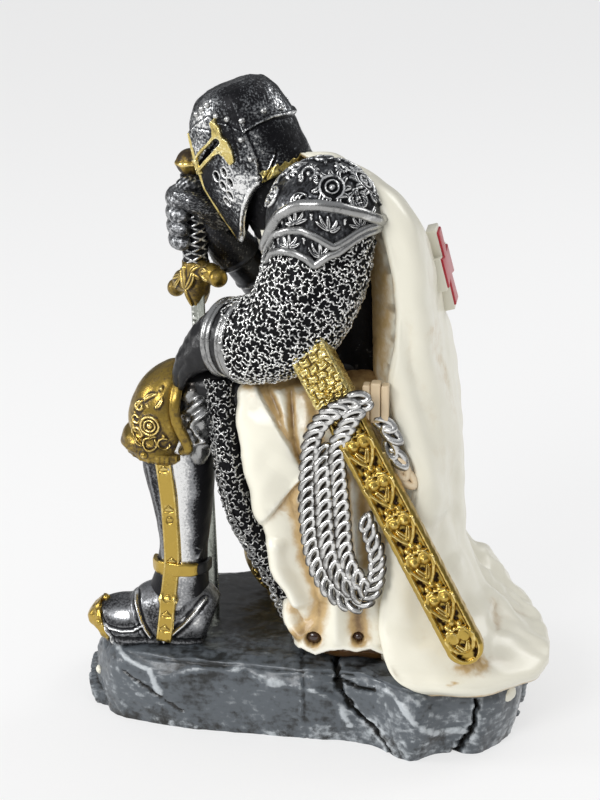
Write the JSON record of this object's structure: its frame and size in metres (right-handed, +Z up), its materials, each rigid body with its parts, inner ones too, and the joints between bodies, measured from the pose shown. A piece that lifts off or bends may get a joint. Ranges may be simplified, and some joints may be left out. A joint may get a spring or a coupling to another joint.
{
  "type": "kneeling medieval knight statue",
  "caption": "Painted resin figurine of a kneeling knight in great helm, mail and cloak, resting on an upright sword on a rough rock base.",
  "frame": {"origin": "on the flat underside of the rock, under the middle of the knight", "axes": "+Z up, the knight faces -X and its left side is -Y"},
  "size_m": [0.1176, 0.0773, 0.1589],
  "materials": {
    "cloth_cream": "cast resin, cream paint with a brown wash in the folds, satin",
    "antique_gold": "cast resin, gold paint rubbed over black",
    "antique_silver": "cast resin, silver paint rubbed over black",
    "mail_silver": "cast resin, black with bright silver on the raised rings",
    "black_leather": "cast resin, black paint with a little silver on the edges",
    "chain_silver": "cast resin, pale silver paint with a dark wash between the links",
    "cross_red": "red paint, satin",
    "rock_slate": "cast resin, slate grey paint with pale edges and dark cracks"
  },
  "bodies": {
    "root": {"knight_on_rock": "cloth_cream", "sword": "antique_gold"}
  },
  "joints": []
}
